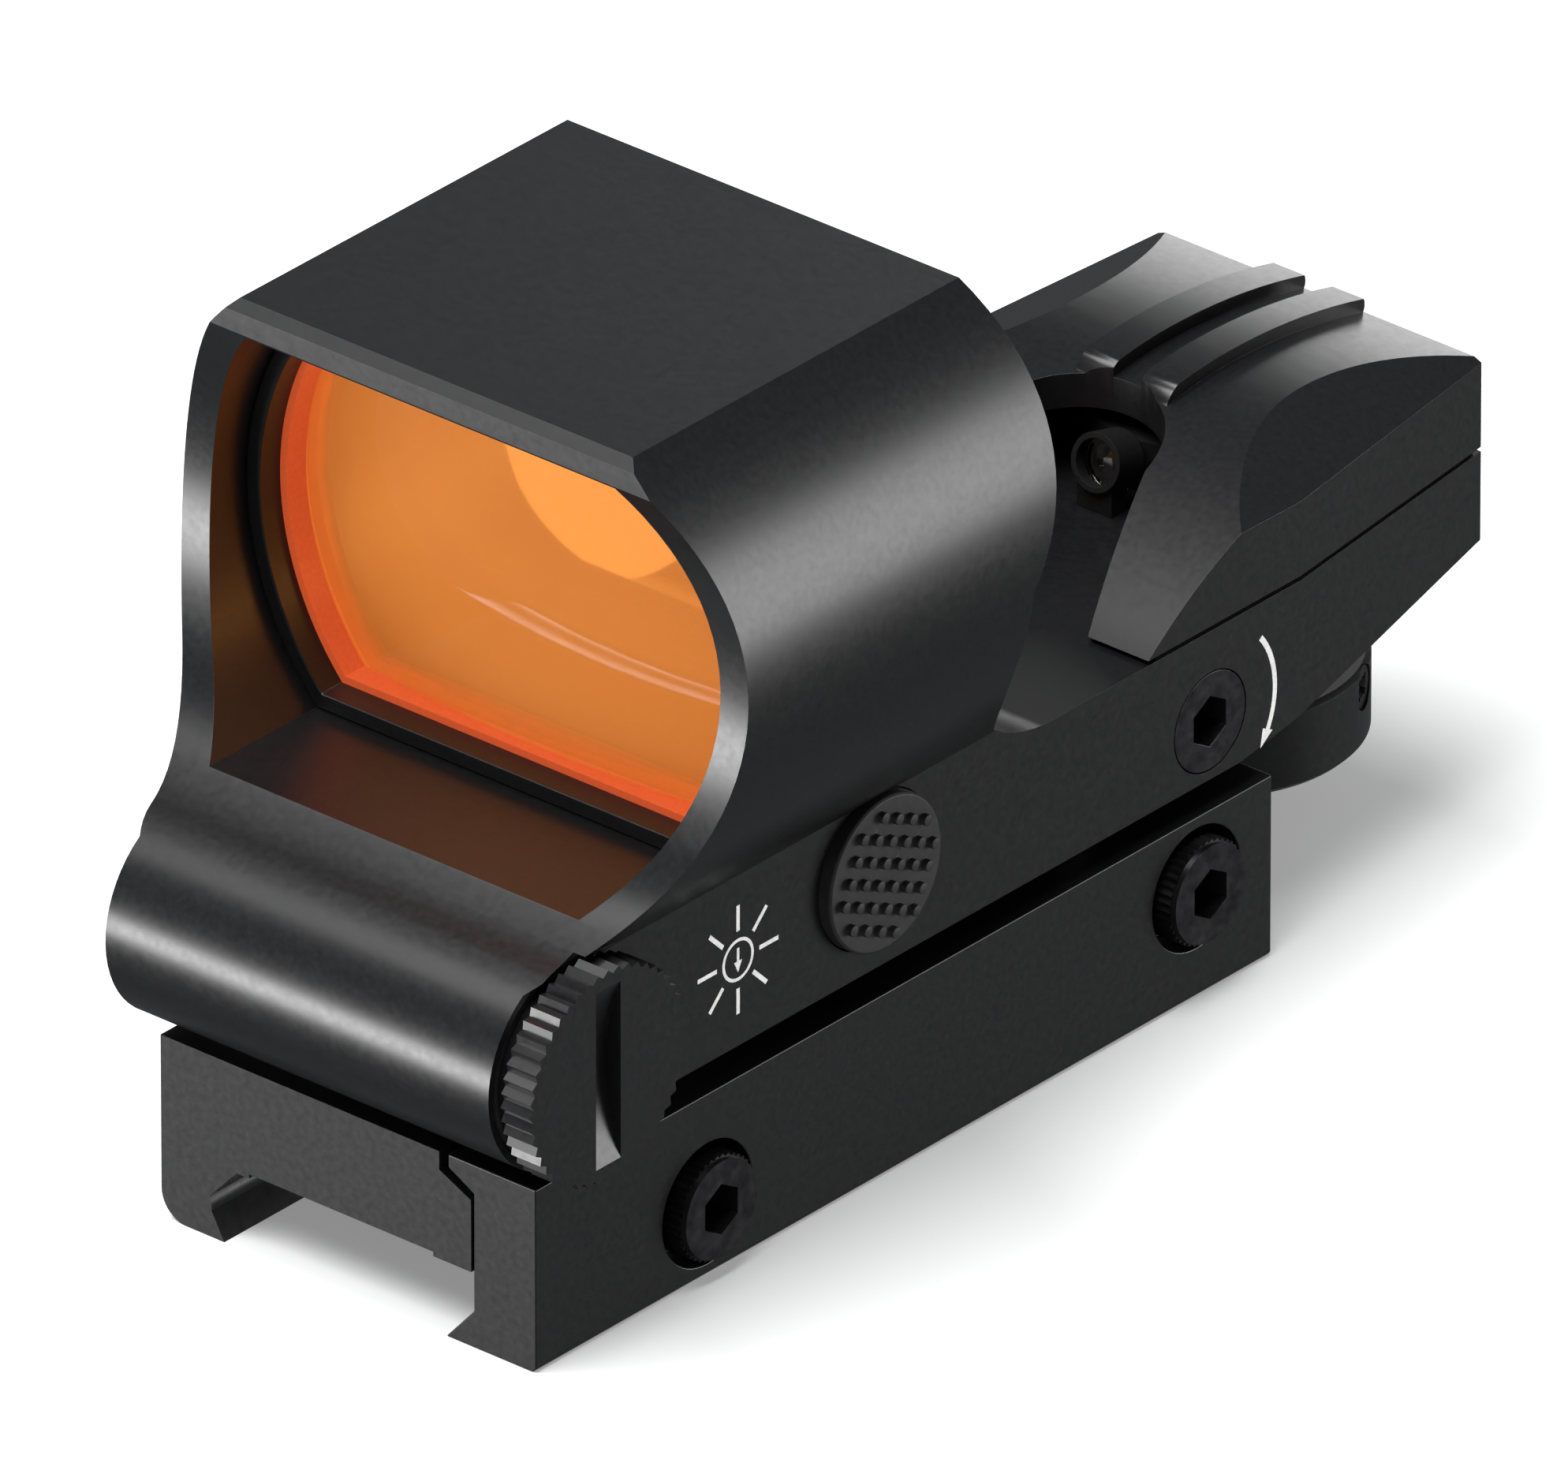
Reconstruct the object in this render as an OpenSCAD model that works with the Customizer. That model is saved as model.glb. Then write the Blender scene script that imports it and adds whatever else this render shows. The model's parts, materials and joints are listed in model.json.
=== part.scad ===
// Open reflex red dot sight on a 20 mm rail clamp, as an assembly of separate pieces.
// +X is the battery cap side, -Y the objective side, +Y the eye side, +Z up.
// The origin is on the rail's centre line, at the plane of its top face, halfway along the clamp.

/* [Rail clamp] */
// Length of the clamp along the rail
clamp_len = 68; // [60:1:72]
// Top of the fixed base above the rail's top face
base_top = 7.35; // [7.2:0.05:7.4]
// Depth of the jaws below the rail's top face
jaw_depth = 5.1; // [4.8:0.1:5.4]
// Outer face of the fixed jaw, from the rail's centre line
fixed_side = 14.2; // [13.8:0.1:14.6]
// Outer face of the clamp plate, from the rail's centre line
plate_side = 15.5; // [15.2:0.1:15.8]
// Shank diameter of the two clamp screws
clamp_screw_d = 4; // [3.6:0.1:4]
// Head diameter of the two clamp screws
clamp_head_d = 7; // [6.6:0.1:7.2]
// Place of the front clamp screw along the rail
front_screw_y = -18.3; // [-19:0.1:-18]
// Place of the rear clamp screw along the rail
rear_screw_y = 27; // [26.5:0.1:27]

/* [Sight body] */
// Width of the body across its flat sides
body_w = 30.3; // [30:0.1:30.6]
// Underside of the body above the rail's top face
body_bottom = 9.2; // [9.1:0.1:9.3]
// Deck behind the hood
deck_z = 19.4; // [19.2:0.1:19.6]
// Thickness of the body's walls
wall = 2.05; // [1.9:0.05:2.1]
// Radius of the battery tube across the nose
nose_r = 7.15; // [7:0.05:7.2]
// Rear face of the body
rear_y = 56.75; // [56:0.25:57]
// Width of the body at its rear face
rear_w = 25.7; // [25:0.1:27]

/* [Hood and window] */
// Outside radius of the hood
hood_r = 22.3; // [22:0.1:22.6]
// Height of the hood's axis
hood_axis_z = 37.2; // [37:0.1:37.4]
// Flat top of the hood
hood_top = 53.3; // [53:0.1:53.6]
// Front end of the hood's roof
hood_front_y = -25.6; // [-26:0.1:-25.4]
// Radius of the window opening
window_r = 20.1; // [19.9:0.1:20.2]
// Flat floor of the window opening
window_floor = 23.4; // [23.2:0.1:23.6]
// Flat ceiling of the window opening
window_ceiling = 51.1; // [50.9:0.1:51.2]

/* [Emitter cover] */
// Top of the cover's crown
crown_z = 27.4; // [27.2:0.1:27.6]
// Front edge of the cover on the deck
cover_front_y = 22.7; // [22:0.1:23]
// Width of each sighting rib
rib_w = 2.5; // [2:0.1:2.8]
// Height of each sighting rib
rib_h = 0.9; // [0.6:0.1:1.2]

/* [Controls] */
// Diameter of the rubber buttons
button_d = 10.3; // [9.8:0.1:10.4]
// Diameter of the battery cap over its teeth
cap_d = 14.3; // [13.8:0.1:14.4]
// Number of teeth on the battery cap
cap_teeth = 48; // [36:1:60]
// Diameter of the reticle selector knob
knob_d = 20; // [18:0.5:20]
// Diameter of the windage and elevation screw heads
adjuster_d = 6.6; // [6.2:0.1:6.8]

/* [Hidden] */
$fn = 64;
eps = 0.01;       // overlap that makes a cut clean
slip = 0.04;      // radial clearance of a turning or sliding fit
air = 0.1;        // gap between pieces that don't touch

half_len = clamp_len / 2;
half_w = body_w / 2;
half_rear_w = rear_w / 2;
screw_r = clamp_screw_d / 2;
head_r = clamp_head_d / 2;

// Clamp section, seen along the rail
seat_relief = 0.3;         // the middle of the seat stands clear of the rail
split_x = 10.4;            // where base and clamp plate meet beside the rail
split_top_x = 7.9;         // edge of the base at its top
plate_top = base_top + 0.05;
notch_z = -2.6;            // widest point of the rail
jaw_tip_x = 9.2;           // tip of the fixed jaw
plate_tip_x = 8.4;         // tip of the clamp plate's jaw
front_screw_z = -0.1;      // crosses in one of the rail's slots and takes the recoil
rear_screw_z = 2.5;        // crosses above the rail
screw_tip_x = -13;
counterbore_r = 4.1;
counterbore_x = 12.8;
clamp_head_x = plate_side + 1.1;

// Pivot of the sight body on the base
pivot_y = -11;
pivot_pin_z = 12.7;
pin_r = 1.5;
spigot_r = 3.6;
spigot_z = 3.9;
block_half = 4;
block_top = 15.4;
tie_y = 11.5;
tie_head_z = 0.65;
tie_ledge_z = 5;
bolt_r = 1.5;              // M3 shanks

// Side profile of the nose and of the hood's front edge
nose_y = -30.7;
nose_z = 14.9;
scoop_y = -47.8;
scoop_z = 38.9;
scoop_r = 25.4;
blend_r = 12;
// Side profile of the hood's rear edge
hood_rear_y = 3.9;
rear_bulge_y = -15.5;
rear_bulge_z = 44.9;
rear_bulge_r = 22;
rear_fillet_r = 10;
hood_edge = 0.45;          // bevel along the roof's front edge
// Underside and plan of the rear end
slope_y = 31.5;
slope_rear_z = 13.3;
taper_y = 37;

// Inside of the body
cavity_front = -22.6;
cavity_rear = 54;
cavity_top = deck_z - wall;
hood_cavity_top = window_floor - wall;
plate_thick = 1.8;
plate_rear = 33;
plate_half = half_w - wall - air;
plate_z = body_bottom + plate_thick;

// Lens cell
retainer_front = -19.3;
lens_edge_y = -15.5;
lens_thick = 2.6;
lens_radius = 106;         // rear surface, twice the distance to the emitter
lens_inset = 0.7;
seal_rear = -12.2;
seat_rear = -10.4;
seat_inset = 1.9;

// Emitter cover
crown_y = 44;
ramp_r = 33;
roof_r = 50;
gasket_t = 0.3;
cover_z = deck_z + gasket_t;
cover_wall = 2.3;
chamfer_front_y = 32.6;
chamfer_front_z = 24.9;
chamfer_rear_z = 25.5;
chamfer_angle = 23;
pocket_r = 6.3;
pocket_y = 32.5;
pocket_front_half = 10.8;
hollow_half = 9.3;
rib_gap = 1.1;

// Adjusters
adjuster_r = adjuster_d / 2;
thread_r = 2.4;
plug_r = 2.6;
windage_y = 28.6;
windage_z = 13.2;
post_half = 2.6;
post_len = 4.4;
post_top = 16;
elevation_y = 18;
tip_gap = 0.06;            // clearance of the adjusters' tips
hex_af = 3;                // across the flats of every hex socket
ring_r = 0.35;             // section radius of the small O-rings

// Battery
cap_x = 16.1;
cap_face = 18.4;
bore_r = 6.2;
cell_r = 5.8;
cell_h = 5.4;
cell_x = -7.4;
bore_end = -12.6;
cap_plug_x = cell_x + 3 * cell_h + 0.1;

// Buttons and board
button_y = -2.5;
button_z = 16;
button_r = button_d / 2;
button_face = half_w + 0.9;
board_z = 12;
board_t = 1.2;

// Selector
knob_y = 46.3;
knob_r = knob_d / 2;
knob_z = 0.4;
knob_top = 5.9;
shaft_r = 2.5;
bush_r = 3.5;
boss_r = 6.5;
boss_z = 6.3;
bush_top = 14.6;
drum_r = 7.6;
drum_z = 19.8;
drum_top = 23.3;
drum_wall = 0.7;
reticle_z = 21.9;
set_screw_angle = 24;
set_screw_z = 4.4;
set_screw_r = 1.4;
detent_orbit = 5;
ball_r = 0.75;
beam_tilt = 15;            // the projector looks up at the window
projector_r = 1.5;
tube_y = 38;

black = [0.07, 0.07, 0.08];
dark = [0.12, 0.12, 0.13];
steel = [0.62, 0.62, 0.64];
brass = [0.78, 0.62, 0.3];
rubber = [0.05, 0.05, 0.05];
amber = [0.95, 0.5, 0.12, 0.5];
green = [0.05, 0.3, 0.15];

// ---- Helpers -------------------------------------------------------------

// Extrude a (Y, Z) outline along X, from x0 to x1
module along_x(x0, x1) {
    translate([x0, 0, 0]) rotate([90, 0, 90]) linear_extrude(x1 - x0) children();
}

// Extrude an (X, Z) outline along Y, from y0 to y1
module along_y(y0, y1) {
    translate([0, y1, 0]) rotate([90, 0, 0]) linear_extrude(y1 - y0) children();
}

module cyl_x(r, x0, x1, y, z) {
    translate([x0, y, z]) rotate([0, 90, 0]) cylinder(r = r, h = x1 - x0);
}

module cyl_z(r, z0, z1, x, y) {
    translate([x, y, z0]) cylinder(r = r, h = z1 - z0);
}

module box(x0, x1, y0, y1, z0, z1) {
    translate([x0, y0, z0]) cube([x1 - x0, y1 - y0, z1 - z0]);
}

// Hexagonal prism along +Z from the origin
module hex_prism(af, depth) {
    cylinder(r = af / sqrt(3), h = depth, $fn = 6);
}

// O-ring about the Z axis
module o_ring(mid_r, section_r) {
    rotate_extrude() translate([mid_r, 0]) circle(r = section_r);
}

// Square groove round the Z axis, centred on z = 0 and open outwards
module ring_groove(floor_r, width) {
    translate([0, 0, -width / 2]) difference() {
        cylinder(r = floor_r + 3, h = width);
        translate([0, 0, -1]) cylinder(r = floor_r, h = width + 2);
    }
}

// Turns of thread drawn as shallow V grooves round a shank
module thread_grooves(r, z0, z1, pitch) {
    depth = pitch * 0.25;
    for (z = [z0 : pitch : z1])
        translate([0, 0, z]) rotate_extrude()
            polygon([[r - depth, 0], [r + depth, -2 * depth + 0.1], [r + depth, 2 * depth - 0.1]]);
}

// Helical spring along +Z, with its wire swept as a ring of points
function coil_point(r, pitch, a) = [r * cos(a), r * sin(a), pitch * a / 360];
function wire_point(r, wire, pitch, a, b) =
    coil_point(r, pitch, a) + wire * [cos(b) * cos(a), cos(b) * sin(a), sin(b)];

module spring(r, wire, height, turns, sides = 6, per_turn = 14) {
    steps = turns * per_turn;
    pitch = (height - 2 * wire) / turns;
    points = [for (i = [0 : steps]) for (j = [0 : sides - 1])
        wire_point(r, wire, pitch, i * 360 / per_turn, -j * 360 / sides) + [0, 0, wire]];
    skin = [for (i = [0 : steps - 1]) for (j = [0 : sides - 1])
        let (k = (j + 1) % sides)
        [i * sides + j, i * sides + k, (i + 1) * sides + k, (i + 1) * sides + j]];
    first = [[for (j = [0 : sides - 1]) sides - 1 - j]];
    last = [[for (j = [0 : sides - 1]) steps * sides + j]];
    polyhedron(points = points, faces = concat(skin, first, last), convexity = 10);
}

// ---- Rail clamp ----------------------------------------------------------

module base_outline() {
    polygon([
        [-fixed_side, base_top], [-fixed_side, 2 - jaw_depth], [2 - fixed_side, -jaw_depth],
        [-jaw_tip_x, -jaw_depth], [-10.6, notch_z], [-8.2, 0], [-7.2, 0], [-7.2, seat_relief],
        [7.4, seat_relief], [7.4, 0], [split_x, 0], [split_x, 4.9],
        [split_top_x, 6.1], [split_top_x, base_top]]);
    translate([2 - fixed_side, 2 - jaw_depth]) circle(r = 2);
}

module clamp_screw_hole(y, z) {
    cyl_x(screw_r + 0.1, screw_tip_x - 0.4, plate_side + 5, y, z);
}

module mount_base() {
    color(black) difference() {
        union() {
            along_y(-half_len, half_len) base_outline();
            // The windage screw and its plunger bear on this post
            box(-post_half, post_half, windage_y - post_len / 2, windage_y + post_len / 2,
                base_top - 1, post_top);
        }
        clamp_screw_hole(front_screw_y, front_screw_z);
        clamp_screw_hole(rear_screw_y, rear_screw_z);
        // Socket, shank hole and head recess of the pivot
        cyl_z(spigot_r + slip, spigot_z, base_top + 1, 0, pivot_y);
        cyl_z(bolt_r + 0.1, 0, spigot_z + 1, 0, pivot_y);
        cyl_z(3.1, -1, 2.15, 0, pivot_y);
        // Spring recess and clearance hole of the tie-down screw
        cyl_z(3.6, -1, tie_ledge_z, 0, tie_y);
        cyl_z(bolt_r + 0.8, tie_ledge_z - 1, base_top + 1, 0, tie_y);
    }
}

module clamp_outline() {
    polygon([
        [plate_side, plate_top], [plate_side, -jaw_depth + 0.3], [plate_side - 0.3, -jaw_depth],
        [plate_tip_x, -jaw_depth], [split_x + 0.2, notch_z], [split_x + 0.2, 5.4],
        [split_top_x + 0.7, 6.5], [split_top_x + 0.7, plate_top]]);
}

module clamp_plate() {
    color(black) difference() {
        along_y(-half_len, half_len) clamp_outline();
        clamp_screw_hole(front_screw_y, front_screw_z);
        clamp_screw_hole(rear_screw_y, rear_screw_z);
        cyl_x(counterbore_r, counterbore_x, plate_side + 1, front_screw_y, front_screw_z);
        cyl_x(counterbore_r, counterbore_x, plate_side + 1, rear_screw_y, rear_screw_z);
    }
}

// Knurled socket head screw along Z, with its head on top at z = 0
module clamp_screw() {
    length = clamp_head_x - screw_tip_x;
    head_h = clamp_head_x - counterbore_x - 0.05;
    teeth = 40;
    color(dark) difference() {
        union() {
            translate([0, 0, -length]) cylinder(r = screw_r, h = length - 1);
            translate([0, 0, -head_h]) linear_extrude(head_h - 0.35) polygon([
                for (i = [0 : 2 * teeth - 1])
                    let (a = i * 180 / teeth, r = i % 2 == 0 ? head_r : head_r - 0.22)
                    [r * cos(a), r * sin(a)]]);
            translate([0, 0, -0.4]) cylinder(r = head_r - 0.25, h = 0.4);
        }
        translate([0, 0, -1.9]) hex_prism(hex_af, 2.5);
        thread_grooves(screw_r, -length + 1, -length + 9, 0.7);
    }
}

module place_x(x, y, z) {
    translate([x, y, z]) rotate([0, 90, 0]) children();
}

module clamp_screw_front() { place_x(clamp_head_x, front_screw_y, front_screw_z) clamp_screw(); }
module clamp_screw_rear() { place_x(clamp_head_x, rear_screw_y, rear_screw_z) clamp_screw(); }

// ---- Pivot and tie-down --------------------------------------------------

module pivot_block() {
    color(steel) difference() {
        union() {
            box(-block_half, block_half, pivot_y - block_half, pivot_y + block_half,
                base_top + 0.05, block_top);
            cyl_z(spigot_r, spigot_z + 0.05, base_top + 1, 0, pivot_y);
        }
        cyl_z(bolt_r, 0, 8.6, 0, pivot_y);
        cyl_x(pin_r + slip, -block_half - 1, block_half + 1, pivot_y, pivot_pin_z);
    }
}

module pivot_screw() {
    color(steel) difference() {
        union() {
            cyl_z(bolt_r, 1, 8.4, 0, pivot_y);
            cyl_z(2.75, 0.45, 2.1, 0, pivot_y);
        }
        translate([0, pivot_y, 0.3]) hex_prism(2, 1.2);
    }
}

module pivot_pin() {
    color(steel) cyl_x(pin_r, -7.6, 7.6, pivot_y, pivot_pin_z);
}

module tie_down_screw() {
    color(steel) difference() {
        union() {
            cyl_z(bolt_r, 1, 13.4, 0, tie_y);
            cyl_z(2.8, tie_head_z, tie_head_z + 1.7, 0, tie_y);
        }
        translate([0, tie_y, tie_head_z - 0.1]) hex_prism(2, 1.2);
    }
}

module tie_down_spring() {
    low = tie_head_z + 1.7;
    color(steel) translate([0, tie_y, low])
        spring(r = 2.15, wire = 0.3, height = tie_ledge_z - low, turns = 3);
}

// ---- Main housing --------------------------------------------------------

// Blend between the hood's front scoop (S) and the battery tube (N):
// its circle touches S from the inside and N from the outside
blend_gap_s = scoop_r - blend_r;
blend_gap_n = blend_r + nose_r;
nose_dist = norm([nose_y - scoop_y, nose_z - scoop_z]);
to_nose = [nose_y - scoop_y, nose_z - scoop_z] / nose_dist;
blend_along = (blend_gap_s ^ 2 - blend_gap_n ^ 2 + nose_dist ^ 2) / (2 * nose_dist);
blend_across = sqrt(blend_gap_s ^ 2 - blend_along ^ 2);
blend_c = [scoop_y, scoop_z] + blend_along * to_nose + blend_across * [-to_nose[1], to_nose[0]];
touch_s = [scoop_y, scoop_z] + scoop_r * (blend_c - [scoop_y, scoop_z]) / blend_gap_s;
touch_n = [nose_y, nose_z] + nose_r * (blend_c - [nose_y, nose_z]) / blend_gap_n;

module hood_side() {
    difference() {
        union() {
            translate([hood_front_y, deck_z]) square([hood_rear_y - hood_front_y, hood_top - deck_z]);
            intersection() {
                translate([rear_bulge_y, rear_bulge_z]) circle(r = rear_bulge_r);
                translate([hood_rear_y - 5, deck_z + 5]) square([15, hood_top - deck_z - 5]);
            }
        }
        translate([scoop_y, scoop_z]) circle(r = scoop_r);
        translate([hood_front_y, hood_top]) rotate(45) square(2 * hood_edge, center = true);
    }
}

module body_side() {
    // Nose and the web that blends it into the hood
    translate([nose_y, nose_z]) circle(r = nose_r);
    difference() {
        polygon([touch_s, touch_n, [nose_y, nose_z], [touch_s[0], body_bottom + 4]]);
        translate(blend_c) circle(r = blend_r);
    }
    // Lower body with its rising underside
    polygon([[nose_y, nose_z], [touch_s[0] + eps, touch_s[1]], [hood_rear_y - 1, touch_s[1]],
             [hood_rear_y - 1, deck_z], [rear_y, deck_z], [rear_y, slope_rear_z],
             [slope_y, body_bottom], [nose_y + 4, body_bottom]]);
    // Fillet between the hood and the deck, meeting each at a slight angle
    fillet_c = rear_fillet_r - 0.03;
    difference() {
        translate([hood_rear_y - 1, deck_z - 1]) square(fillet_c + 1);
        translate([hood_rear_y + fillet_c, deck_z + fillet_c]) circle(r = rear_fillet_r);
    }
}

// Outside section across the sight: the round hood on the flat-sided body
module body_front(half = half_w) {
    intersection() {
        translate([0, hood_axis_z]) circle(r = hood_r);
        translate([-hood_r, body_bottom]) square([2 * hood_r, hood_top - body_bottom]);
    }
    translate([-half, 0]) square([2 * half, hood_axis_z - 8]);
}

// Plan of the rear end, which narrows behind taper_y
module body_plan(inset = 0) {
    polygon([
        [-half_w + inset, -60], [half_w - inset, -60], [half_w - inset, taper_y],
        [half_rear_w - inset, rear_y - inset], [-half_rear_w + inset, rear_y - inset],
        [-half_w + inset, taper_y]]);
}

// Window section, drawn in by inset all round
module window_outline(inset = 0) {
    intersection() {
        translate([0, hood_axis_z]) circle(r = window_r - inset);
        translate([-window_r, window_floor + inset])
            square([2 * window_r, window_ceiling - window_floor - 2 * inset]);
    }
}

module housing_shape() {
    intersection() {
        along_x(-hood_r - 1, hood_r + 1) union() { body_side(); hood_side(); }
        along_y(-60, rear_y + 1) body_front();
        union() {
            linear_extrude(deck_z + eps) body_plan();
            translate([-30, -60, deck_z - 2]) cube([60, 60 + hood_rear_y + rear_fillet_r + 2, 60]);
        }
    }
}

// Hollow for the board, pivot and adjusters, open below
module housing_cavity() {
    difference() {
        union() {
            box(-plate_half - air, plate_half + air, cavity_front, plate_rear + air, 0, cavity_top);
            box(-plate_half - air, plate_half + air, cavity_front + 2.6, 2, cavity_top - 1, hood_cavity_top);
            // Rear bay above the sloping floor
            intersection() {
                along_x(-11, 11) polygon([
                    [plate_rear - 1, body_bottom + wall], [plate_rear - 1, cavity_top],
                    [cavity_rear, cavity_top], [cavity_rear, slope_rear_z + wall]]);
                box(-10.8, 10.8, plate_rear - 2, cavity_rear, 0, 30);
            }
        }
        // Ledge that keeps the battery tube whole
        cyl_x(nose_r, -half_w, half_w, nose_y, nose_z);
        // Bosses for the adjusters, left standing in the hollow
        box(5.2, half_w, windage_y - 4.2, windage_y + 4.2, plate_z + air, cavity_top + 1);
        box(-half_w, -5.2, windage_y - 4.2, windage_y + 4.2, plate_z + air, cavity_top + 1);
        box(-4, 4, elevation_y - 4, elevation_y + 4, plate_z + air, cavity_top + 1);
        for (p = bottom_screw_spots) cyl_z(1.9, plate_z, hood_cavity_top, p[0], p[1]);
        for (p = cover_screw_spots) cyl_z(2.6, plate_z + air, cavity_top + 1, p[0], p[1]);
    }
}

// Room for the buttons' flanges behind the side walls
module button_pockets() {
    for (s = [-1, 1]) on_side(s)
        cyl_x(button_r + 0.95, 10.7, half_w - wall, button_y, button_z);
}

module battery_bore() {
    cyl_x(bore_r, bore_end, half_w + 1, nose_y, nose_z);
    cyl_x(bore_r + 0.5, half_w - 1.1, half_w + 1, nose_y, nose_z);
}

module adjuster_bores() {
    cyl_x(adjuster_r + 0.08, 11.4, half_w + 1, windage_y, windage_z);
    cyl_x(thread_r + 0.05, 4, half_w, windage_y, windage_z);
    cyl_x(2.05, -half_w, -4, windage_y, windage_z);
    cyl_x(plug_r, -half_w - 1, -11.8, windage_y, windage_z);
    cyl_z(adjuster_r + 0.08, deck_z - 3.6, deck_z + 5, 0, elevation_y);
    cyl_z(thread_r + 0.05, 8, deck_z, 0, elevation_y);
}

bottom_screw_spots = [[-11, -19.5], [11, -19.5], [-11, 22.2], [11, 22.2]];
cover_screw_spots = [[-12.3, 35], [12.3, 35], [-10.7, 52.6], [10.7, 52.6]];

module main_housing() {
    color(black) difference() {
        union() {
            difference() {
                housing_shape();
                housing_cavity();
            }
            intersection() {
                cyl_z(boss_r, boss_z, cavity_top, 0, knob_y);
                along_x(-boss_r - 1, boss_r + 1) polygon([
                    [knob_y - boss_r - 1, 0], [knob_y + boss_r + 1, 0],
                    [knob_y + boss_r + 1, 15.6], [knob_y - boss_r - 1, 13.4]]);
            }
        }
        along_y(-60, seat_rear - 2 + eps) window_outline();
        along_y(seat_rear, 30) window_outline();
        along_y(-60, 30) window_outline(seat_inset);
        along_y(-60, seal_rear) window_outline();
        battery_bore();
        // Room for the battery cap beside the hood's flare
        cyl_x(cap_d / 2 + 0.35, cap_x - 0.35, hood_r + 1, nose_y, nose_z);
        adjuster_bores();
        // Button holes
        cyl_x(button_r + air, -half_w - 1, half_w + 1, button_y, button_z);
        button_pockets();
        // Selector shaft, bush and detent
        cyl_z(bush_r, 0, bush_top + 2, 0, knob_y);
        cyl_z(bush_r + 0.8, bush_top, cavity_top, 0, knob_y);
        cyl_z(shaft_r + 0.3, 0, deck_z + 1, 0, knob_y);
        cyl_z(ball_r + air, 0, 10.4, detent_orbit, knob_y);
        // Cable slot in the deck under the emitter
        box(-2.2, 2.2, 37.2, 38.4, cavity_top - 1, deck_z + 1);
        for (p = cover_screw_spots) cyl_z(1.1, 0, deck_z + 1, p[0], p[1]);
        for (p = cover_screw_spots) cyl_z(1.9, 0, deck_z - 3.4, p[0], p[1]);
        for (p = bottom_screw_spots) cyl_z(1, 0, plate_z + 5, p[0], p[1]);
    }
}

module bottom_plate() {
    color(dark) difference() {
        union() {
            box(-plate_half, plate_half, cavity_front + air, plate_rear, body_bottom, plate_z);
            // Lugs that hold the pivot pin
            for (s = [-1, 1]) on_side(s)
                box(block_half + 0.6, 7.6, pivot_y - 3.4, pivot_y + 3.4, plate_z - 1, 15);
            cyl_z(3.4, body_bottom, 13.6, 0, tie_y);
        }
        cyl_x(pin_r, -9, 9, pivot_y, pivot_pin_z);
        box(-block_half - 0.5, block_half + 0.5, pivot_y - block_half - 0.8,
            pivot_y + block_half + 0.8, 0, 30);
        cyl_z(bolt_r, 0, 13.5, 0, tie_y);
        // Flat beside the elevation screw's boss, and troughs under the windage screw and plug
        box(-4, 4, elevation_y - 4 - air, elevation_y, plate_z, 20);
        cyl_x(plug_r + air, -half_w, half_w, windage_y, windage_z);
        cyl_x(adjuster_r + 2 * air, 11.3, half_w, windage_y, windage_z);
        cyl_z(thread_r + 0.7, 0, 20, 0, elevation_y);
        box(-post_half - 1.4, post_half + 1.4, windage_y - post_len / 2 - 1.4,
            plate_rear + 1, 0, 20);
        for (p = bottom_screw_spots) cyl_z(1, 0, 20, p[0], p[1]);
        for (p = bottom_screw_spots) cyl_z(1.9, 0, body_bottom + 0.9, p[0], p[1]);
        button_pockets();
    }
}

// Children where they are for s = 1, and mirrored across the middle for s = -1
module on_side(s) {
    if (s < 0) mirror([1, 0, 0]) children();
    else children();
}

// Small cross-recess screw along +Z, head down
module pan_screw(head, shank, head_h, length) {
    difference() {
        union() {
            cylinder(r = head, h = head_h);
            cylinder(r = shank, h = length);
        }
        for (a = [0, 90]) rotate([0, 0, a])
            translate([-head * 0.7, -head * 0.13, -eps]) cube([head * 1.4, head * 0.26, head_h * 0.55]);
    }
}

module bottom_plate_screws() {
    color(steel) for (p = bottom_screw_spots)
        translate([p[0], p[1], body_bottom + 0.1]) pan_screw(1.8, 0.98, 0.75, 5.6);
}

module cover_screws() {
    color(steel) for (p = cover_screw_spots)
        translate([p[0], p[1], deck_z - 4.9]) pan_screw(1.8, 1.05, 1.45, 7.6);
}

// ---- Lens cell -----------------------------------------------------------

// Ball that a face of the lens is part of; its rim is at lens_edge_y
module lens_ball(r) {
    front_r = lens_radius + lens_thick;
    drop = sqrt(front_r ^ 2 - (window_r - lens_inset) ^ 2);
    translate([0, lens_edge_y + 0.05 + drop, hood_axis_z]) sphere(r = r, $fn = 240);
}

module lens_retainer() {
    color(black) difference() {
        along_y(retainer_front, lens_edge_y) window_outline(0.05);
        along_y(retainer_front - 1, lens_edge_y + 1) window_outline(1.1);
        lens_ball(lens_radius + lens_thick + 0.03);
    }
}

module objective_lens() {
    color(amber) intersection() {
        along_y(-30, 0) window_outline(lens_inset);
        difference() {
            lens_ball(lens_radius + lens_thick);
            lens_ball(lens_radius);
        }
        box(-30, 30, -30, seal_rear - 0.7, 0, 60);
    }
}

module lens_seal() {
    color("orangered") difference() {
        along_y(lens_edge_y + 0.1, seal_rear) window_outline(0.05);
        along_y(lens_edge_y - 1, seal_rear - 0.6) window_outline(lens_inset - 0.05);
        along_y(lens_edge_y - 1, seal_rear + 1) window_outline(seat_inset - 0.3);
    }
}

// ---- Emitter cover -------------------------------------------------------

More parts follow.
